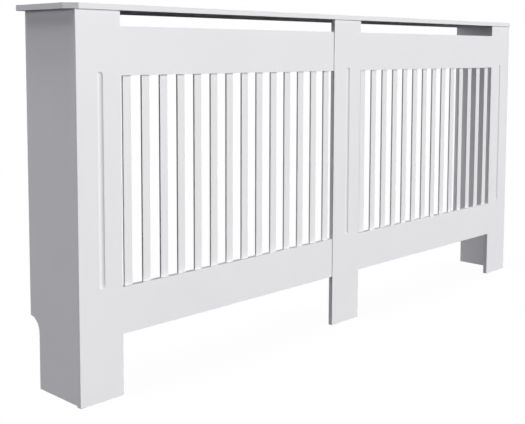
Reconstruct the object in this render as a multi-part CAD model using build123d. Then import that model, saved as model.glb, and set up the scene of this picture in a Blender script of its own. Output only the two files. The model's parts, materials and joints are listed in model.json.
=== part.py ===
from build123d import *
import os

# Radiator cover cabinet: an open-backed box of painted fibreboard that stands over a radiator.
# Millimetres. Origin at the middle of the floor outline, +X to the right seen from the room,
# +Y towards the wall, +Z up. The front looks towards -Y.

# ---- Overall size -------------------------------------------------------------------------
overall_width = 1720
overall_depth = 193
overall_height = 815

# ---- Boards -------------------------------------------------------------------------------
board_thickness = 12  # top board
panel_thickness = 12  # both front panels
side_thickness = 12  # both side panels

end_overhang = 17  # top board past each end of the front
front_overhang = 5  # top board past the face of the front
corner_clip = 22  # 45 degree clip of the top board's two front corners
side_inset = 4  # outer face of a side panel, in from the front's end

# ---- Front: two stiles, a centre post and four rails --------------------------------------
stile_width = 108
post_width = 109
post_shift = 2.75  # middle of the post, to the right of the cover's middle
bottom_rail_height = 100
top_rail_height = 100
floor_gap_height = 131  # open below the bottom rails
air_slot_height = 32  # open between the top rails and the top board
rail_end_chamfer = 3.6  # front edge of the left rails' ends, at the joint with the centre post

# ---- Coved groove down each stile and the post --------------------------------------------
groove_width = 14
groove_depth = 3.4
groove_stile_shift = 3  # middle of a stile's groove, from the stile's middle towards the grille
groove_post_shift = 2.75  # middle of the post's groove, from the post's middle to the right
groove_below = 5  # lower end of the groove, above the lower edge of the grille
groove_above = 9  # upper end of the groove, above the upper edge of the grille

# ---- Slats --------------------------------------------------------------------------------
slat_count = 14  # in each grille
slat_width = 20.5
slat_thickness = 4.6
slat_set_in = 0.9  # back of a slat, in from the back of the rails
slat_stile_gap = 10.25  # between a stile and the slat beside it
slat_gap_before_post = 14.5  # between the last slat of the left grille and the post
slat_gap_after_post = 9  # between the post and the first slat of the right grille
slat_lap = 20  # each end of a slat, housed in the back of its rail
slat_side_fit = 0.1
slat_end_fit = 0.5

# ---- Notch that clears the skirting board -------------------------------------------------
notch_depth = 33
notch_height = 155
notch_radius = 33

# ---- Screws and dowels --------------------------------------------------------------------
screw_diameter = 3.5
screw_head_diameter = 7
screw_head_height = 2.2
screw_tip_length = 2
screw_tip_diameter = 0.7  # at the very point
screw_skin = 4  # board left past the point of a screw
recess_width = 1
recess_length = 4
recess_depth = 1.2
screw_fit = 0.05  # round the shank
head_fit = 0.3  # round the head
pilot_room = 0.5  # past the point

dowel_diameter = 6
dowel_chamfer = 0.8
dowel_fit = 0.05
dowel_room = 1  # past each end of a dowel
dowel_skin = 4  # board left past a dowel in the top board
top_dowel_in_side = 22  # a dowel's length inside the side panel
top_dowel_margin = 38  # from the front and rear edges of a side panel
rail_dowel_length = 30
rail_dowel_spread = 40

# ---- Corner blocks ------------------------------------------------------------------------
block_leg = 22
block_nose = 6  # flat left on each leg beside the sloping face
block_length = 50
block_web = 8  # plastic under a screw's head
block_screw_offset = 13  # from the corner to each screw's axis
block_outer_pitch = 36  # between the two screws into the first wall
block_inner_pitch = 16  # between the two screws into the second wall
side_block_margin = 60  # from the floor, and from the top board, to the middle of an end block
top_block_inset = 46  # from the front's end to the middle of its top block

# ---- Plates behind the centre joint -------------------------------------------------------
plate_length = 84
plate_height = 28
plate_thickness = 2
plate_corner_radius = 4
plate_hole_reaches = (-32, -14, 14, 32)  # from the joint, along X

# ---- Wall brackets ------------------------------------------------------------------------
bracket_leg = 30
bracket_height = 24
bracket_thickness = 2
bracket_bend_radius = 3  # outside of the bend
wall_hole_diameter = 5
wall_hole_reach = 18  # from the side panel's inner face
bracket_screw_reaches = (11, 22)  # from the wall, along the side panel

# ---- Places worked out from the sizes -----------------------------------------------------
front_y = -overall_depth / 2 + front_overhang
panel_back_y = front_y + panel_thickness
wall_y = overall_depth / 2
board_underside = overall_height - board_thickness
front_end = overall_width / 2 - end_overhang
side_outer = front_end - side_inset
side_inner = side_outer - side_thickness
post_left = post_shift - post_width / 2
post_right = post_shift + post_width / 2
stile_edge = front_end - stile_width
joint_x = post_left

bottom_rail = (floor_gap_height, floor_gap_height + bottom_rail_height)
top_rail_upper_edge = board_underside - air_slot_height
top_rail = (top_rail_upper_edge - top_rail_height, top_rail_upper_edge)
opening_bottom = bottom_rail[1]
opening_top = top_rail[0]
bracket_middle = (top_rail[0] + top_rail[1]) / 2  # the angles hide behind the top rail

side_block_heights = (side_block_margin, board_underside / 2, board_underside - side_block_margin)

openings = {"left": (-stile_edge, post_left), "right": (post_right, stile_edge)}
slat_runs = {
    "left": (-stile_edge + slat_stile_gap, post_left - slat_gap_before_post),
    "right": (post_right + slat_gap_after_post, stile_edge - slat_stile_gap),
}
slat_back_y = panel_back_y - slat_set_in
slat_face_y = slat_back_y - slat_thickness
groove_radius = (groove_width**2 / 4 + groove_depth**2) / (2 * groove_depth)

block_screw_length = block_web + panel_thickness - screw_skin
plate_screw_length = plate_thickness + panel_thickness - screw_skin
bracket_screw_length = bracket_thickness + side_thickness - screw_skin


# ---- Helpers ------------------------------------------------------------------------------
def slab(x, y, z):
    """Rectangular solid between three pairs of coordinates."""
    size = (x[1] - x[0], y[1] - y[0], z[1] - z[0])
    return Pos(x[0], y[0], z[0]) * Box(*size, align=(Align.MIN, Align.MIN, Align.MIN))


def rod(diameter, start, direction, length):
    """Round bar from a point along a direction."""
    base = Plane(origin=start, z_dir=direction)
    return base.location * Cylinder(diameter / 2, length, align=(Align.CENTER, Align.CENTER, Align.MIN))


def facing(point, direction):
    """Placement at a point, with the local Z axis along a direction."""
    return Plane(origin=point, z_dir=direction).location


def save(name, *solids):
    """Write one node: a single solid, or a group of separate solids."""
    shape = solids[0] if len(solids) == 1 else Compound(children=list(solids))
    shape.label = name
    export_step(shape, f"parts/{name}.step")


# ---- Fasteners ----------------------------------------------------------------------------
def screw(length):
    """Pan-head wood screw: its head stands on the local XY plane and its shank points down."""
    straight = length - screw_tip_length
    shank = Pos(0, 0, -straight / 2) * Cylinder(screw_diameter / 2, straight)
    tip_middle = -length + screw_tip_length / 2
    tip = Pos(0, 0, tip_middle) * Cone(screw_tip_diameter / 2, screw_diameter / 2, screw_tip_length)
    head = Pos(0, 0, screw_head_height / 2) * Cylinder(screw_head_diameter / 2, screw_head_height)
    head = fillet(head.edges().sort_by(Axis.Z)[-1], screw_head_height / 2)
    recess_z = screw_head_height - recess_depth / 2
    recess = Pos(0, 0, recess_z) * Box(recess_length, recess_width, recess_depth)
    recess += Pos(0, 0, recess_z) * Box(recess_width, recess_length, recess_depth)
    return shank + tip + head - recess


def pilot(point, direction, bite):
    """Hole for a screw whose head looks along a direction, from a board's face inwards."""
    inwards = -Vector(*direction)
    return rod(screw_diameter + 2 * screw_fit, point, inwards, bite + pilot_room)


def dowel(length):
    """Beech dowel along the local Z axis, from the origin up, with chamfered ends."""
    body = Cylinder(dowel_diameter / 2, length, align=(Align.CENTER, Align.CENTER, Align.MIN))
    return chamfer(body.edges().filter_by(GeomType.CIRCLE), dowel_chamfer)


def dowel_hole(point, direction, depth):
    return rod(dowel_diameter + 2 * dowel_fit, point, direction, depth + dowel_room)


# ---- Corner block: local X = 0 and Y = 0 are the two walls that it joins -------------------
def block_seats():
    """Local seats of its four screws: (point on the web, direction that the head faces)."""
    first = [((block_web, block_screw_offset, s * block_outer_pitch / 2), (1, 0, 0)) for s in (-1, 1)]
    second = [((block_screw_offset, block_web, s * block_inner_pitch / 2), (0, 1, 0)) for s in (-1, 1)]
    return first, second


def corner_block():
    outline = Polyline(
        (0, 0),
        (block_leg, 0),
        (block_leg, block_nose),
        (block_nose, block_leg),
        (0, block_leg),
        close=True,
    )
    block = Pos(0, 0, -block_length / 2) * extrude(make_face(outline), block_length)
    for seats in block_seats():
        for seat, direction in seats:
            inwards = -Vector(*direction)
            block -= rod(screw_diameter + 2 * screw_fit, seat, inwards, block_web)
            block -= rod(screw_head_diameter + 2 * head_fit, seat, direction, block_leg)
    return block


def block_pilots(wall):
    """Holes in the first wall (0) or the second wall (1) of a corner block."""
    bite = block_screw_length - block_web
    holes = []
    for seat, direction in block_seats()[wall]:
        face_point = Vector(*seat) - Vector(*direction) * block_web
        holes.append(pilot(face_point, direction, bite))
    return holes


def block_screws():
    seats = [seat for wall in block_seats() for seat in wall]
    return [facing(*seat) * screw(block_screw_length) for seat in seats]


def side_block_place(side, height):
    """First wall: the side panel's inner face. Second wall: the front panel's back."""
    corner = (side * side_inner, panel_back_y, height)
    return Plane(origin=corner, x_dir=(-side, 0, 0), z_dir=(0, 0, -side)).location


def top_block_place(x):
    """First wall: the front panel's back. Second wall: the underside of the top board."""
    corner = (x, panel_back_y, board_underside)
    return Plane(origin=corner, x_dir=(0, 1, 0), z_dir=(-1, 0, 0)).location


side_block_places = {
    side: [side_block_place(side, height) for height in side_block_heights] for side in (-1, 1)
}
top_block_x = {
    "left": -front_end + top_block_inset,
    "centre": post_shift,
    "right": front_end - top_block_inset,
}
top_block_places = {name: top_block_place(x) for name, x in top_block_x.items()}


# ---- Plates, brackets and their screws ----------------------------------------------------
def plate_seats(rail):
    """Seats of the screws in the plate behind one pair of rails."""
    middle = (rail[0] + rail[1]) / 2
    y = panel_back_y + plate_thickness
    return [(joint_x + reach, y, middle) for reach in plate_hole_reaches]


def joiner_plate(rail):
    middle = (rail[0] + rail[1]) / 2
    plate = slab(
        (joint_x - plate_length / 2, joint_x + plate_length / 2),
        (panel_back_y, panel_back_y + plate_thickness),
        (middle - plate_height / 2, middle + plate_height / 2),
    )
    plate = fillet(plate.edges().filter_by(Axis.Y), plate_corner_radius)
    for seat in plate_seats(rail):
        plate -= rod(screw_diameter + 2 * screw_fit, seat, (0, -1, 0), plate_thickness)
    return plate


def bracket_seats(side):
    x = side * (side_inner - bracket_thickness)
    return [(x, wall_y - reach, bracket_middle) for reach in bracket_screw_reaches]


def wall_bracket(side):
    """Steel angle: one leg on the side panel's inner face, the other flush with the wall."""
    inner = side_inner - bracket_thickness
    outline = Polyline(
        (side_inner, wall_y),
        (side_inner, wall_y - bracket_leg),
        (inner, wall_y - bracket_leg),
        (inner, wall_y - bracket_thickness),
        (side_inner - bracket_leg, wall_y - bracket_thickness),
        (side_inner - bracket_leg, wall_y),
        close=True,
    )
    low = bracket_middle - bracket_height / 2
    angle = Pos(0, 0, low) * extrude(make_face(outline), bracket_height)
    upright = angle.edges().filter_by(Axis.Z)
    bend_outside = upright.sort_by_distance((side_inner, wall_y, bracket_middle))[0]
    angle = fillet(bend_outside, bracket_bend_radius)
    bend_inside = angle.edges().filter_by(Axis.Z).sort_by_distance(
        (inner, wall_y - bracket_thickness, bracket_middle)
    )[0]
    angle = fillet(bend_inside, bracket_bend_radius - bracket_thickness)
    wall_hole = (side_inner - wall_hole_reach, wall_y, bracket_middle)
    angle -= rod(wall_hole_diameter, wall_hole, (0, -1, 0), bracket_thickness)
    if side < 0:
        angle = mirror(angle, about=Plane.YZ)
    for seat in bracket_seats(side):
        angle -= rod(screw_diameter + 2 * screw_fit, seat, (side, 0, 0), bracket_thickness)
    return angle


# ---- Dowels -------------------------------------------------------------------------------
def top_dowel_points(side):
    """Where the dowels cross the joint between a side panel and the top board."""
    x = side * (side_inner + side_thickness / 2)
    front = panel_back_y + top_dowel_margin
    rear = wall_y - top_dowel_margin
    return [(x, y, board_underside) for y in (front, rear)]


def rail_dowel_points(rail):
    """Where the dowels cross the joint between a left rail and the post."""
    middle = (rail[0] + rail[1]) / 2
    y = front_y + panel_thickness / 2
    return [(joint_x, y, middle + s * rail_dowel_spread / 2) for s in (-1, 1)]


# ---- Boards -------------------------------------------------------------------------------
def top_board():
    half = overall_width / 2
    edge = -overall_depth / 2
    outline = Polyline(
        (-half, wall_y),
        (half, wall_y),
        (half, edge + corner_clip),
        (half - corner_clip, edge),
        (corner_clip - half, edge),
        (-half, edge + corner_clip),
        close=True,
    )
    board = Pos(0, 0, board_underside) * extrude(make_face(outline), board_thickness)
    for place in top_block_places.values():
        for hole in block_pilots(1):
            board -= place * hole
    for side in (-1, 1):
        for point in top_dowel_points(side):
            board -= dowel_hole(point, (0, 0, 1), board_thickness - dowel_skin - dowel_room)
    return board


def side_panel(side):
    x = sorted((side * side_inner, side * side_outer))
    panel = slab(x, (panel_back_y, wall_y), (0, board_underside))
    straight = notch_height - notch_radius
    over = 1
    notch = slab(
        (x[0] - over, x[1] + over), (wall_y - notch_depth, wall_y + over), (-over, straight)
    )
    arc_centre = (x[0] - over, wall_y - notch_depth + notch_radius, straight)
    notch += rod(2 * notch_radius, arc_centre, (1, 0, 0), side_thickness + 2 * over)
    panel -= notch
    for place in side_block_places[side]:
        for hole in block_pilots(0):
            panel -= place * hole
    for point in top_dowel_points(side):
        panel -= dowel_hole(point, (0, 0, -1), top_dowel_in_side)
    for seat in bracket_seats(side):
        face_point = (side * side_inner, seat[1], seat[2])
        panel -= pilot(face_point, (-side, 0, 0), bracket_screw_length - bracket_thickness)
    return panel


def groove(x):
    """Coved groove with ball ends, centred on an upright."""
    y = front_y + groove_depth - groove_radius
    low = opening_bottom + groove_below + groove_width / 2
    high = opening_top + groove_above - groove_width / 2
    cutter = rod(2 * groove_radius, (x, y, low), (0, 0, 1), high - low)
    for z in (low, high):
        cutter += Pos(x, y, z) * Sphere(groove_radius)
    return cutter


def slat_centres(hand):
    """Evenly spaced slats that fill the run of a grille."""
    first = slat_runs[hand][0] + slat_width / 2
    last = slat_runs[hand][1] - slat_width / 2
    pitch = (last - first) / (slat_count - 1)
    return [first + index * pitch for index in range(slat_count)]


def slat_housings(hand):
    """Pockets in the back of the rails, one for each end of each slat."""
    half = slat_width / 2 + slat_side_fit
    reach = slat_lap + slat_end_fit
    y = (slat_face_y, panel_back_y)
    pockets = []
    for x in slat_centres(hand):
        for z in ((opening_bottom - reach, opening_bottom), (opening_top, opening_top + reach)):
            pockets.append(slab((x - half, x + half), y, z))
    return pockets


def chamfer_rail_ends(panel):
    """Chamfer the front edges of the left rails where they meet the post."""
    near = 0.01
    edges = panel.edges().filter_by(Axis.Z)
    edges = edges.filter_by_position(Axis.X, joint_x - near, joint_x + near)
    edges = edges.filter_by_position(Axis.Y, front_y - near, front_y + near)
    return chamfer(edges, rail_end_chamfer)


def rails(opening):
    thickness = (front_y, panel_back_y)
    return slab(opening, thickness, bottom_rail) + slab(opening, thickness, top_rail)


def upright(x):
    return slab(x, (front_y, panel_back_y), (0, board_underside))


def drill_front(panel, side, block_names):
    """Everything that both front panels need: housings, pilots and dowel holes."""
    for pocket in slat_housings("left" if side < 0 else "right"):
        panel -= pocket
    for place in side_block_places[side]:
        for hole in block_pilots(1):
            panel -= place * hole
    for name in block_names:
        for hole in block_pilots(0):
            panel -= top_block_places[name] * hole
    for rail in (bottom_rail, top_rail):
        for point in rail_dowel_points(rail):
            panel -= dowel_hole(point, (side, 0, 0), rail_dowel_length / 2)
        for reach, seat in zip(plate_hole_reaches, plate_seats(rail)):
            if reach * side > 0:
                face_point = (seat[0], panel_back_y, seat[2])
                bite = plate_screw_length - plate_thickness
                panel -= pilot(face_point, (0, 1, 0), bite)
    return panel


def front_panel_left():
    """Left stile with its two rails, cut from one board; the rails end at the post."""
    panel = upright((-front_end, -stile_edge)) + rails(openings["left"])
    panel = chamfer_rail_ends(panel)
    panel -= groove(-front_end + stile_width / 2 + groove_stile_shift)
    return drill_front(panel, -1, ["left"])


def front_panel_right():
    """Centre post, right stile and their two rails, cut from one board."""
    panel = upright((post_left, post_right)) + upright((stile_edge, front_end))
    panel += rails(openings["right"])
    panel -= groove(post_shift + groove_post_shift)
    panel -= groove(front_end - stile_width / 2 - groove_stile_shift)
    return drill_front(panel, 1, ["centre", "right"])


def slat(x):
    return slab(
        (x - slat_width / 2, x + slat_width / 2),
        (slat_face_y, slat_back_y),
        (opening_bottom - slat_lap, opening_top + slat_lap),
    )


# ---- Write every piece --------------------------------------------------------------------
os.makedirs("parts", exist_ok=True)

save("top_board", top_board())
save("side_panel_left", side_panel(-1))
save("side_panel_right", side_panel(1))
save("front_panel_left", front_panel_left())
save("front_panel_right", front_panel_right())

for hand in openings:
    for number, x in enumerate(slat_centres(hand), start=1):
        save(f"slat_{hand}_{number:02d}", slat(x))

side_block_screws = []
for hand, side in (("left", -1), ("right", 1)):
    for level, place in zip(("lower", "middle", "upper"), side_block_places[side]):
        save(f"corner_block_{hand}_{level}", place * corner_block())
        side_block_screws += [place * piece for piece in block_screws()]
save("corner_block_screws", *side_block_screws)

top_block_screws = []
for name, place in top_block_places.items():
    save(f"top_block_{name}", place * corner_block())
    top_block_screws += [place * piece for piece in block_screws()]
save("top_block_screws", *top_block_screws)

plate_screws = []
for level, rail in (("lower", bottom_rail), ("upper", top_rail)):
    save(f"joiner_plate_{level}", joiner_plate(rail))
    plate_screws += [facing(seat, (0, 1, 0)) * screw(plate_screw_length) for seat in plate_seats(rail)]
save("joiner_plate_screws", *plate_screws)

bracket_screws = []
for hand, side in (("left", -1), ("right", 1)):
    save(f"wall_bracket_{hand}", wall_bracket(side))
    for seat in bracket_seats(side):
        bracket_screws.append(facing(seat, (-side, 0, 0)) * screw(bracket_screw_length))
save("wall_bracket_screws", *bracket_screws)

top_dowel_length = top_dowel_in_side + board_thickness - dowel_skin - dowel_room
top_dowels = []
for side in (-1, 1):
    for x, y, z in top_dowel_points(side):
        top_dowels.append(facing((x, y, z - top_dowel_in_side), (0, 0, 1)) * dowel(top_dowel_length))
save("top_dowels", *top_dowels)

rail_dowels = []
for rail in (bottom_rail, top_rail):
    for x, y, z in rail_dowel_points(rail):
        rail_dowels.append(facing((x - rail_dowel_length / 2, y, z), (1, 0, 0)) * dowel(rail_dowel_length))
save("rail_dowels", *rail_dowels)
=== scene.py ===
"""Radiator cover cabinet: the painted look of the packed model, and the studio that it stands in."""

import json
import math

import bmesh
import bpy
from bpy.props import FloatProperty, FloatVectorProperty, IntProperty, PointerProperty
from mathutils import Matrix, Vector

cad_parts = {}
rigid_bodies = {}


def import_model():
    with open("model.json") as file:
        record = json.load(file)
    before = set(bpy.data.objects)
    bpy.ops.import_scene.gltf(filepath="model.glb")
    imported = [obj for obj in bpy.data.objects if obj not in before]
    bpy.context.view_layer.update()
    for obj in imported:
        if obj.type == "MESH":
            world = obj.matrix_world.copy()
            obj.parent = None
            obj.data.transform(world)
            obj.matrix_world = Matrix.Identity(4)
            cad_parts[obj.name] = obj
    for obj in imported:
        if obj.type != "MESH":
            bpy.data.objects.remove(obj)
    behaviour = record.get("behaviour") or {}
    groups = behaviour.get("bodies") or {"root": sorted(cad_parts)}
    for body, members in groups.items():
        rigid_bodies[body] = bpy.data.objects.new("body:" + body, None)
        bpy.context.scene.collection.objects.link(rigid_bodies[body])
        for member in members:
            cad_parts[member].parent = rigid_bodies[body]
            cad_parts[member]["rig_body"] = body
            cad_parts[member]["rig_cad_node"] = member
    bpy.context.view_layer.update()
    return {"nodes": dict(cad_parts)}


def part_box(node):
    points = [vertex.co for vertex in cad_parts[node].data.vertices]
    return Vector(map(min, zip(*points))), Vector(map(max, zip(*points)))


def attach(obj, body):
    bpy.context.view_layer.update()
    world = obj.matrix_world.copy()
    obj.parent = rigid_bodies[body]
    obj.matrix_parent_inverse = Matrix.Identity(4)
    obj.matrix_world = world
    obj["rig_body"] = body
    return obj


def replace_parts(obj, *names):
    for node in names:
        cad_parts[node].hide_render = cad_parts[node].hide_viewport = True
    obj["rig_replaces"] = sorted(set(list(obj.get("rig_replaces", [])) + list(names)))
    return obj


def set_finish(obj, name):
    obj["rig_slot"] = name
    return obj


bl_info = {
    "name": "Radiator cover cabinet",
    "version": (1, 0, 0),
    "blender": (4, 5, 0),
    "location": "View3D > Sidebar > Radiator cover",
    "description": "Paints and dresses a slatted radiator cover of fibreboard",
    "category": "Object",
}

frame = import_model()
NODES = frame["nodes"]

BODY = "root"
INWARD = {
    "top_board": Vector((0, 0, -1)),
    "side_panel_left": Vector((1, 0, 0)),
    "side_panel_right": Vector((-1, 0, 0)),
    "front_panel_left": Vector((0, 1, 0)),
    "front_panel_right": Vector((0, 1, 0)),
}
SLAT_INWARD = Vector((0, 1, 0))
FLAT_ON = 0.9  # cosine above which a face is taken to look straight along a direction

# Azimuth, elevation and spread of each lamp, in degrees. Azimuth 0 is straight in front of the
# cover, and positive angles lie to the right.
LAMPS = {
    "key": (27, 13, 34),
    "left": (-60, 8, 30),
    "rear": (-115, 3, 24),
    "high": (-110, 60, 28),
    "overhead": (-105, 82, 12),
    "back": (160, 32, 20),
}
WHITE = (1.0, 1.0, 1.0)
SHADOW_FADE = (1.0, 3.5)  # metres from the middle of the floor, where the shadow begins and ends to fade
CAMERA_REACH = 100  # metres

PHOTO_WIDTH = 525  # pixels, the size of the picture that the camera is set for
PHOTO_HEIGHT = 424


# ---- Units and colours --------------------------------------------------------------------
def mm(value):
    """Millimetres as metres."""
    return value / 1000


def per_mm(feature):
    """Scale of a noise texture on Object coordinates whose features are this many millimetres wide."""
    return 1000 / feature


def linear(hex_colour):
    """An sRGB hex colour as linear red, green and blue."""
    channels = [int(hex_colour[i : i + 2], 16) / 255 for i in (1, 3, 5)]
    return [c / 12.92 if c <= 0.04045 else ((c + 0.055) / 1.055) ** 2.4 for c in channels]


def rgba(colour):
    """A colour with full cover."""
    return (*colour, 1.0)


def darker(colour, share):
    """A share of a colour's light."""
    return [channel * share for channel in colour]


# ---- Settings -----------------------------------------------------------------------------
class BoardSettings(bpy.types.PropertyGroup):
    """The sanded edges of the boards and slats."""

    arris: FloatProperty(
        name="Arris",
        description="Radius of the edges that are broken with sandpaper before painting",
        default=mm(0.4),
        min=mm(0.1),
        max=mm(2),
        precision=5,
        unit="LENGTH",
    )
    arris_steps: IntProperty(
        name="Steps",
        description="Flat steps round each broken edge",
        default=4,
        min=2,
        max=6,
    )


class PaintSettings(bpy.types.PropertyGroup):
    """The sprayed white lacquer."""

    colour: FloatVectorProperty(
        name="White",
        description="Colour of the lacquer",
        default=linear("#EBEBED"),
        subtype="COLOR",
        min=0,
        max=1,
    )
    roughness: FloatProperty(
        name="Roughness",
        description="Roughness of the lacquer on the faces of the boards",
        default=0.32,
        min=0,
        max=1,
        subtype="FACTOR",
    )
    gloss: FloatProperty(
        name="Gloss",
        description="Strength of the lacquer's reflection",
        default=0.08,
        min=0,
        max=1,
        subtype="FACTOR",
    )
    cut_roughness: FloatProperty(
        name="Roughness of cut edges",
        description="Roughness where the lacquer soaks into the sawn edges",
        default=0.66,
        min=0,
        max=1,
        subtype="FACTOR",
    )
    peel: FloatProperty(
        name="Orange peel",
        description="Width of the soft waves that spraying leaves in the lacquer",
        default=mm(3),
        min=mm(0.5),
        max=mm(10),
        unit="LENGTH",
        precision=5,
    )
    fibre: FloatProperty(
        name="Raised fibre",
        description="Width of the fine grain that stands up on a sawn edge",
        default=mm(0.8),
        min=mm(0.2),
        max=mm(3),
        unit="LENGTH",
        precision=5,
    )


class FittingSettings(bpy.types.PropertyGroup):
    """The hidden fittings."""

    plastic: FloatVectorProperty(
        name="Corner blocks",
        description="Colour of the moulded polypropylene blocks",
        default=linear("#DEDCD6"),
        subtype="COLOR",
        min=0,
        max=1,
    )
    zinc: FloatVectorProperty(
        name="Zinc",
        description="Colour of the zinc plating on plates, angles and screws",
        default=linear("#B9BCBF"),
        subtype="COLOR",
        min=0,
        max=1,
    )
    beech: FloatVectorProperty(
        name="Beech",
        description="Colour of the bare beech dowels",
        default=linear("#C9A27A"),
        subtype="COLOR",
        min=0,
        max=1,
    )


class StudioSettings(bpy.types.PropertyGroup):
    """Camera, lamps and floor."""

    camera_place: FloatVectorProperty(
        name="Camera",
        description="Place of the camera",
        default=(-1.8643, -1.5870, 0.7219),
        subtype="TRANSLATION",
        unit="LENGTH",
    )
    camera_turn: FloatVectorProperty(
        name="Camera turn",
        description="Tilt, roll and heading of the camera",
        default=(math.radians(85.05), math.radians(-0.17), math.radians(-45.94)),
        subtype="EULER",
        unit="ROTATION",
    )
    focal_pixels: FloatProperty(
        name="Focal length in pixels",
        description="Focal length of the camera, in pixels of the photograph",
        default=906.3,
        min=100,
    )
    axis_row: FloatProperty(
        name="Row of the optical axis",
        description="Row of the photograph, in pixels from its top, that the camera's axis goes through",
        default=129.4,
    )
    key_power: FloatProperty(
        name="Key",
        description="Strength of the large lamp in front, a little to the right",
        default=3.28,
        min=0,
    )
    left_power: FloatProperty(
        name="Left",
        description="Strength of the weak lamp in front, on the left",
        default=0.2,
        min=0,
    )
    rear_power: FloatProperty(
        name="Rear",
        description="Strength of the low lamp on the left, which shines into the open back",
        default=0.78,
        min=0,
    )
    high_power: FloatProperty(
        name="High",
        description="Strength of the lamp high on the left; the top board shades the side from it",
        default=0.83,
        min=0,
    )
    overhead_power: FloatProperty(
        name="Overhead",
        description="Strength of the lamp nearly overhead, which lights the top and grazes the side",
        default=1.6,
        min=0,
    )
    back_power: FloatProperty(
        name="Back",
        description="Strength of the weak lamp behind, which shows the inside",
        default=0.15,
        min=0,
    )
    fill_colour: FloatVectorProperty(
        name="Fill colour",
        description="Colour of every lamp but the key",
        default=linear("#FBFAFF"),
        subtype="COLOR",
        min=0,
        max=1,
    )
    ambient: FloatProperty(
        name="Ambient",
        description="Strength of the even light from the room",
        default=0.04,
        min=0,
        max=1,
    )
    shadow_share: FloatProperty(
        name="Shadow",
        description="Share of the lit floor that shows through the white ground",
        default=0.03,
        min=0,
        max=1,
        subtype="FACTOR",
    )
    floor_size: FloatProperty(
        name="Floor",
        description="Width of the floor",
        default=40.0,
        unit="LENGTH",
    )


SETTINGS = {
    "cover_boards": BoardSettings,
    "cover_paint": PaintSettings,
    "cover_fittings": FittingSettings,
    "cover_studio": StudioSettings,
}


# ---- Nodes and materials ------------------------------------------------------------------
def add_node(tree, kind, inputs=None, **settings):
    """Adds a shader node, sets it, and links or fills its inputs."""
    made = tree.nodes.new(kind)
    for name, value in settings.items():
        setattr(made, name, value)
    for socket, value in (inputs or {}).items():
        if isinstance(value, bpy.types.NodeSocket):
            tree.links.new(value, made.inputs[socket])
        else:
            made.inputs[socket].default_value = value
    return made


def empty_material(name):
    """A material with an empty node tree, or the one that already has this name."""
    material = bpy.data.materials.get(name) or bpy.data.materials.new(name)
    material.use_nodes = True
    material.node_tree.nodes.clear()
    return material, material.node_tree


def output_surface(tree, shader):
    """Links a shader to the material's output."""
    add_node(tree, "ShaderNodeOutputMaterial", {"Surface": shader})


def sprayed_lacquer(paint):
    """White cellulose lacquer sprayed on fibreboard. It gives a soft, even sheen with faint orange peel;
    sawn edges drink it, so that they stay rougher and show a fine raised fibre."""
    material, tree = empty_material("sprayed_lacquer")
    place = add_node(tree, "ShaderNodeTexCoord").outputs["Object"]
    cut = add_node(tree, "ShaderNodeAttribute", attribute_name="cut_edge").outputs["Fac"]
    cloud = add_node(tree, "ShaderNodeTexNoise", {"Vector": place, "Scale": per_mm(140), "Detail": 2.0})
    tone = add_node(
        tree,
        "ShaderNodeMapRange",
        {"Value": cloud.outputs["Fac"], "From Min": 0.3, "From Max": 0.7, "To Min": 0.985, "To Max": 1.0},
    )
    colour = add_node(
        tree,
        "ShaderNodeVectorMath",
        {0: paint.colour[:], "Scale": tone.outputs["Result"]},
        operation="SCALE",
    )
    peel = add_node(tree, "ShaderNodeTexNoise", {"Vector": place, "Scale": 1 / paint.peel, "Detail": 1.0})
    fibre = add_node(tree, "ShaderNodeTexNoise", {"Vector": place, "Scale": 1 / paint.fibre, "Detail": 3.0})
    fibre_height = add_node(
        tree,
        "ShaderNodeMath",
        {0: fibre.outputs["Fac"], 1: cut},
        operation="MULTIPLY",
    )
    waves = add_node(
        tree,
        "ShaderNodeBump",
        {"Height": peel.outputs["Fac"], "Strength": 0.12, "Distance": mm(0.08)},
    )
    grain = add_node(
        tree,
        "ShaderNodeBump",
        {
            "Height": fibre_height.outputs[0],
            "Strength": 0.35,
            "Distance": mm(0.1),
            "Normal": waves.outputs["Normal"],
        },
    )
    swing = 0.06  # how much the roughness changes between the crests and the hollows of the peel
    smear = add_node(
        tree,
        "ShaderNodeMath",
        {0: peel.outputs["Fac"], 1: swing, 2: paint.roughness - swing / 2},
        operation="MULTIPLY_ADD",
    )
    roughness = add_node(
        tree,
        "ShaderNodeMix",
        {"Factor": cut, "A": smear.outputs[0], "B": paint.cut_roughness},
        data_type="FLOAT",
    )
    shader = add_node(
        tree,
        "ShaderNodeBsdfPrincipled",
        {
            "Base Color": colour.outputs["Vector"],
            "Roughness": roughness.outputs["Result"],
            "Normal": grain.outputs["Normal"],
            "IOR": 1.5,
            "Specular IOR Level": paint.gloss,
        },
    )
    output_surface(tree, shader.outputs["BSDF"])
    return material


def rolled_primer(paint):
    """White primer rolled on the faces that look into the cabinet, where no lacquer is sprayed. It is dead
    matt, without any sheen, and shows the soft stipple of the roller."""
    material, tree = empty_material("rolled_primer")
    place = add_node(tree, "ShaderNodeTexCoord").outputs["Object"]
    stipple = add_node(tree, "ShaderNodeTexNoise", {"Vector": place, "Scale": per_mm(2), "Detail": 2.0})
    bump = add_node(
        tree,
        "ShaderNodeBump",
        {"Height": stipple.outputs["Fac"], "Strength": 0.2, "Distance": mm(0.1)},
    )
    shader = add_node(
        tree,
        "ShaderNodeBsdfPrincipled",
        {
            "Base Color": rgba(paint.colour),
            "Roughness": 0.9,
            "Normal": bump.outputs["Normal"],
            "Specular IOR Level": 0.0,
        },
    )
    output_surface(tree, shader.outputs["BSDF"])
    return material


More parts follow.
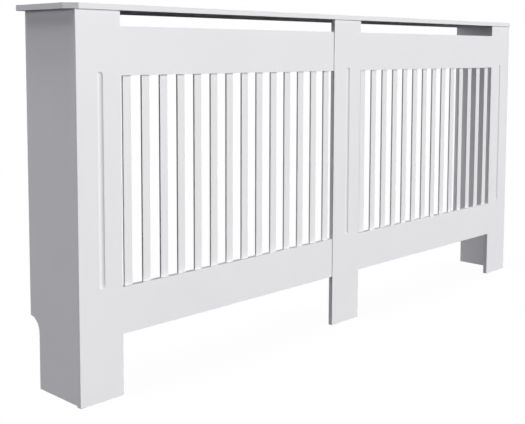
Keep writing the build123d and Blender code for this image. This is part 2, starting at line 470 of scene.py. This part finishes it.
def moulded_polypropylene(fittings):
    """Injection-moulded polypropylene. It is waxy and half matt, with the fine spark grain of the mould."""
    material, tree = empty_material("moulded_polypropylene")
    place = add_node(tree, "ShaderNodeTexCoord").outputs["Object"]
    spark = add_node(tree, "ShaderNodeTexNoise", {"Vector": place, "Scale": per_mm(0.7), "Detail": 2.0})
    bump = add_node(
        tree,
        "ShaderNodeBump",
        {"Height": spark.outputs["Fac"], "Strength": 0.25, "Distance": mm(0.05)},
    )
    roughness = add_node(
        tree,
        "ShaderNodeMapRange",
        {"Value": spark.outputs["Fac"], "To Min": 0.42, "To Max": 0.6},
    )
    shader = add_node(
        tree,
        "ShaderNodeBsdfPrincipled",
        {
            "Base Color": rgba(fittings.plastic),
            "Roughness": roughness.outputs["Result"],
            "Normal": bump.outputs["Normal"],
            "IOR": 1.49,
        },
    )
    output_surface(tree, shader.outputs["BSDF"])
    return material


def zinc_plated_steel(name, fittings, streak):
    """Bright zinc plating on pressed steel. It is a cool grey metal with a cloudy, slightly blue bloom.
    The streak stretches the bloom along the rolling direction of sheet."""
    material, tree = empty_material(name)
    place = add_node(tree, "ShaderNodeTexCoord").outputs["Object"]
    along = add_node(tree, "ShaderNodeMapping", {"Vector": place, "Scale": (1 / streak, 1.0, 1.0)})
    bloom = add_node(
        tree,
        "ShaderNodeTexNoise",
        {"Vector": along.outputs["Vector"], "Scale": per_mm(3), "Detail": 4.0},
    )
    colour = add_node(
        tree,
        "ShaderNodeMix",
        {
            "Factor": bloom.outputs["Fac"],
            "A": rgba(fittings.zinc),
            "B": rgba(darker(fittings.zinc, 0.8)),
        },
        data_type="RGBA",
    )
    roughness = add_node(
        tree,
        "ShaderNodeMapRange",
        {"Value": bloom.outputs["Fac"], "To Min": 0.22, "To Max": 0.42},
    )
    shader = add_node(
        tree,
        "ShaderNodeBsdfPrincipled",
        {
            "Base Color": colour.outputs["Result"],
            "Roughness": roughness.outputs["Result"],
            "Metallic": 1.0,
        },
    )
    output_surface(tree, shader.outputs["BSDF"])
    return material


def bare_beech(fittings):
    """Turned beech dowel. It is matt and pale pinkish brown, with short dark flecks along the grain."""
    material, tree = empty_material("bare_beech")
    place = add_node(tree, "ShaderNodeTexCoord").outputs["Object"]
    fleck = add_node(tree, "ShaderNodeTexNoise", {"Vector": place, "Scale": per_mm(1.2), "Detail": 3.0})
    colour = add_node(
        tree,
        "ShaderNodeMix",
        {
            "Factor": fleck.outputs["Fac"],
            "A": rgba(fittings.beech),
            "B": rgba(darker(fittings.beech, 0.7)),
        },
        data_type="RGBA",
    )
    shader = add_node(
        tree,
        "ShaderNodeBsdfPrincipled",
        {"Base Color": colour.outputs["Result"], "Roughness": 0.7},
    )
    output_surface(tree, shader.outputs["BSDF"])
    return material


# ---- Shaping ------------------------------------------------------------------------------
def wear(piece, *materials):
    """Gives a piece its materials. The first one is on all faces that aren't set to another."""
    piece.data.materials.clear()
    for material in materials:
        piece.data.materials.append(material)


def copy_of(source, name):
    """A copy of an object with its own mesh, without the marks of its source, ready to be shaped."""
    bpy.ops.object.select_all(action="DESELECT")
    source.select_set(True)
    bpy.context.view_layer.objects.active = source
    bpy.ops.object.duplicate(linked=False)
    piece = bpy.context.active_object
    piece.name = name
    piece.data.name = name
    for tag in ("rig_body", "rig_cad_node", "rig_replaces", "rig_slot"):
        if tag in piece:
            del piece[tag]
    return piece


def select_arrises(piece, shortest, squareness):
    """Selects the long square edges of a mesh in edit mode, and leaves grooves, chamfers and screw holes."""
    shape = bmesh.from_edit_mesh(piece.data)
    for edge in shape.edges:
        square = len(edge.link_faces) == 2 and edge.is_convex and edge.calc_face_angle() > squareness
        edge.select_set(square and edge.calc_length() > shortest)
    shape.select_flush_mode()
    bmesh.update_edit_mesh(piece.data)


def break_arrises(piece, boards):
    """Merges the loose triangles of a piece and rounds its long square edges."""
    bpy.ops.object.select_all(action="DESELECT")
    piece.select_set(True)
    bpy.context.view_layer.objects.active = piece
    bpy.ops.object.mode_set(mode="EDIT")
    bpy.ops.mesh.select_mode(type="EDGE")
    bpy.ops.mesh.select_all(action="SELECT")
    bpy.ops.mesh.remove_doubles(threshold=mm(0.002))
    bpy.ops.mesh.dissolve_limited(angle_limit=math.radians(0.2))
    bpy.ops.mesh.select_all(action="DESELECT")
    select_arrises(piece, shortest=mm(2), squareness=math.radians(80))
    bpy.ops.mesh.bevel(
        offset=boards.arris, segments=boards.arris_steps, affect="EDGES", clamp_overlap=True
    )
    bpy.ops.mesh.select_all(action="DESELECT")
    bpy.ops.object.mode_set(mode="OBJECT")
    bpy.ops.object.shade_smooth_by_angle(angle=math.radians(30))
    weighted = piece.modifiers.new("weighted_normals", "WEIGHTED_NORMAL")
    weighted.keep_sharp = True
    bpy.ops.object.modifier_apply(modifier=weighted.name)


def finish_board(piece, inward, paint):
    """Lacquers a board, marks the faces that a saw has cut, and leaves its inner side in primer.
    Inward is the direction of that side."""
    wear(piece, sprayed_lacquer(paint), rolled_primer(paint))
    cut = piece.data.attributes.new("cut_edge", "FLOAT", "FACE")
    for face in piece.data.polygons:
        facing = face.normal.dot(inward)
        cut.data[face.index].value = 0.0 if abs(facing) > FLAT_ON else 1.0
        face.material_index = 1 if facing > FLAT_ON else 0


def stand_for(piece, node, slot):
    """Puts a finished piece on its body, in the place of a CAD node."""
    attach(piece, BODY)
    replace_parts(piece, node)
    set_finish(piece, slot)


def paint_node(node, material):
    """Gives a CAD node its material."""
    wear(NODES[node], material)


# ---- Operators ----------------------------------------------------------------------------
class COVER_OT_boards(bpy.types.Operator):
    """Break the edges of the five boards and lacquer them"""

    bl_idname = "cover.boards"
    bl_label = "Boards"

    def execute(self, context):
        scene = context.scene
        for node, inward in INWARD.items():
            board = copy_of(NODES[node], node + "_lacquered")
            break_arrises(board, scene.cover_boards)
            finish_board(board, inward, scene.cover_paint)
            stand_for(board, node, "painted_board")
        return {"FINISHED"}


class COVER_OT_slats(bpy.types.Operator):
    """Break the edges of one slat, lacquer it, and copy it to every place in both grilles"""

    bl_idname = "cover.slats"
    bl_label = "Slats"

    def execute(self, context):
        scene = context.scene
        nodes = sorted(name for name in NODES if name.startswith("slat_"))
        first = nodes[0]
        pattern = copy_of(NODES[first], first + "_lacquered")
        break_arrises(pattern, scene.cover_boards)
        finish_board(pattern, SLAT_INWARD, scene.cover_paint)
        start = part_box(first)[0]
        for node in nodes[1:]:
            slat = copy_of(pattern, node + "_lacquered")
            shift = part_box(node)[0] - start
            for vertex in slat.data.vertices:
                vertex.co += shift
            stand_for(slat, node, "painted_slat")
        stand_for(pattern, first, "painted_slat")
        return {"FINISHED"}


class COVER_OT_corner_blocks(bpy.types.Operator):
    """Finish the moulded blocks that join the boards"""

    bl_idname = "cover.corner_blocks"
    bl_label = "Corner blocks"

    def execute(self, context):
        plastic = moulded_polypropylene(context.scene.cover_fittings)
        for node in NODES:
            if "_block_" in node and not node.endswith("_screws"):
                paint_node(node, plastic)
        return {"FINISHED"}


class COVER_OT_steelwork(bpy.types.Operator):
    """Plate the joiner plates and the wall angles with zinc"""

    bl_idname = "cover.steelwork"
    bl_label = "Plates and angles"

    def execute(self, context):
        zinc = zinc_plated_steel("zinc_plated_sheet", context.scene.cover_fittings, streak=6.0)
        for node in ("joiner_plate_lower", "joiner_plate_upper", "wall_bracket_left", "wall_bracket_right"):
            paint_node(node, zinc)
        return {"FINISHED"}


class COVER_OT_screws(bpy.types.Operator):
    """Plate the wood screws with zinc"""

    bl_idname = "cover.screws"
    bl_label = "Screws"

    def execute(self, context):
        zinc = zinc_plated_steel("zinc_plated_screw", context.scene.cover_fittings, streak=1.0)
        for node in NODES:
            if node.endswith("_screws"):
                paint_node(node, zinc)
        return {"FINISHED"}


class COVER_OT_dowels(bpy.types.Operator):
    """Finish the beech dowels in the joints"""

    bl_idname = "cover.dowels"
    bl_label = "Dowels"

    def execute(self, context):
        beech = bare_beech(context.scene.cover_fittings)
        for node in NODES:
            if node.endswith("_dowels"):
                paint_node(node, beech)
        return {"FINISHED"}


# ---- Stage --------------------------------------------------------------------------------
def seen_directly(tree):
    """1 for camera rays and for what gloss and glass show, else 0."""
    rays = add_node(tree, "ShaderNodeLightPath").outputs
    seen = add_node(
        tree,
        "ShaderNodeMath",
        {0: rays["Is Camera Ray"], 1: rays["Is Glossy Ray"]},
        operation="MAXIMUM",
    )
    seen = add_node(
        tree,
        "ShaderNodeMath",
        {0: seen.outputs[0], 1: rays["Is Transmission Ray"]},
        operation="MAXIMUM",
    )
    return seen.outputs[0]


def white_room(world, studio):
    """A room that looks white and gives a low, even light."""
    world.use_nodes = True
    tree = world.node_tree
    tree.nodes.clear()
    light = add_node(
        tree,
        "ShaderNodeBackground",
        {"Color": rgba(linear("#F4F6FF")), "Strength": studio.ambient},
    )
    white = add_node(tree, "ShaderNodeBackground", {"Color": rgba(WHITE), "Strength": 1.0})
    mixed = add_node(
        tree,
        "ShaderNodeMixShader",
        {0: seen_directly(tree), 1: light.outputs[0], 2: white.outputs[0]},
    )
    add_node(tree, "ShaderNodeOutputWorld", {"Surface": mixed.outputs[0]})


def white_ground(studio):
    """A white floor that shows a faint shadow near the object and throws little light back up."""
    material, tree = empty_material("white_ground")
    place = add_node(tree, "ShaderNodeTexCoord").outputs["Object"]
    distance = add_node(tree, "ShaderNodeVectorMath", {0: place}, operation="LENGTH")
    near = add_node(
        tree,
        "ShaderNodeMapRange",
        {
            "Value": distance.outputs["Value"],
            "From Min": SHADOW_FADE[0],
            "From Max": SHADOW_FADE[1],
            "To Min": studio.shadow_share,
            "To Max": 0.0,
        },
        interpolation_type="SMOOTHSTEP",
    )
    lit = add_node(tree, "ShaderNodeBsdfDiffuse", {"Color": rgba(WHITE)})
    glow = add_node(tree, "ShaderNodeEmission", {"Color": rgba(WHITE), "Strength": 1.0})
    shown = add_node(
        tree,
        "ShaderNodeMixShader",
        {0: near.outputs["Result"], 1: glow.outputs[0], 2: lit.outputs[0]},
    )
    bounce = add_node(tree, "ShaderNodeBsdfDiffuse", {"Color": rgba(linear("#1A1A1A"))})
    mixed = add_node(
        tree,
        "ShaderNodeMixShader",
        {0: seen_directly(tree), 1: bounce.outputs[0], 2: shown.outputs[0]},
    )
    output_surface(tree, mixed.outputs[0])
    return material


def far_lamp(name, strength, colour):
    """A soft lamp far away, from the list of lamps."""
    azimuth, elevation, spread = LAMPS[name]
    lamp = bpy.data.lights.new(name, "SUN")
    lamp.angle = math.radians(spread)
    lamp.energy = strength
    lamp.color = colour
    holder = bpy.data.objects.new(name, lamp)
    holder.rotation_euler = (math.radians(90 - elevation), 0, math.radians(azimuth))
    bpy.context.scene.collection.objects.link(holder)


class COVER_OT_stage(bpy.types.Operator):
    """Build the white studio: floor, room light, lamps and camera"""

    bl_idname = "cover.stage"
    bl_label = "Studio"

    def execute(self, context):
        scene = context.scene
        studio = scene.cover_studio
        bpy.ops.object.select_all(action="DESELECT")
        bpy.ops.mesh.primitive_plane_add(size=studio.floor_size, location=(0, 0, 0))
        floor = context.active_object
        floor.name = "floor"
        wear(floor, white_ground(studio))

        scene.world = scene.world or bpy.data.worlds.new("room")
        white_room(scene.world, studio)
        far_lamp("key", studio.key_power, WHITE)
        far_lamp("left", studio.left_power, studio.fill_colour)
        far_lamp("rear", studio.rear_power, studio.fill_colour)
        far_lamp("high", studio.high_power, studio.fill_colour)
        far_lamp("overhead", studio.overhead_power, studio.fill_colour)
        far_lamp("back", studio.back_power, studio.fill_colour)

        lens = bpy.data.cameras.new("photo_camera")
        lens.lens = studio.focal_pixels / PHOTO_WIDTH * lens.sensor_width
        lens.shift_y = (studio.axis_row - PHOTO_HEIGHT / 2) / PHOTO_WIDTH
        lens.clip_end = CAMERA_REACH
        camera = bpy.data.objects.new("photo_camera", lens)
        camera.location = studio.camera_place
        camera.rotation_euler = studio.camera_turn
        scene.collection.objects.link(camera)
        scene.camera = camera
        scene.view_settings.view_transform = "Standard"
        return {"FINISHED"}


# ---- Panel and registration ---------------------------------------------------------------
STEPS = (
    COVER_OT_boards,
    COVER_OT_slats,
    COVER_OT_corner_blocks,
    COVER_OT_steelwork,
    COVER_OT_screws,
    COVER_OT_dowels,
    COVER_OT_stage,
)


class COVER_PT_panel(bpy.types.Panel):
    """Lists the steps and their settings in the sidebar"""

    bl_idname = "COVER_PT_panel"
    bl_label = "Radiator cover"
    bl_space_type = "VIEW_3D"
    bl_region_type = "UI"
    bl_category = "Radiator cover"

    def draw(self, context):
        layout = self.layout
        for step in STEPS:
            layout.operator(step.bl_idname)
        for name, group in SETTINGS.items():
            box = layout.box()
            box.label(text=group.__doc__)
            for setting in group.__annotations__:
                box.prop(getattr(context.scene, name), setting)


CLASSES = (*SETTINGS.values(), *STEPS, COVER_PT_panel)


def register():
    for cls in CLASSES:
        bpy.utils.register_class(cls)
    for name, group in SETTINGS.items():
        setattr(bpy.types.Scene, name, PointerProperty(type=group))


def unregister():
    for name in SETTINGS:
        delattr(bpy.types.Scene, name)
    for cls in reversed(CLASSES):
        bpy.utils.unregister_class(cls)


def main():
    register()
    bpy.ops.cover.boards()
    bpy.ops.cover.slats()
    bpy.ops.cover.corner_blocks()
    bpy.ops.cover.steelwork()
    bpy.ops.cover.screws()
    bpy.ops.cover.dowels()
    bpy.ops.cover.stage()


if __name__ == "__main__":
    main()
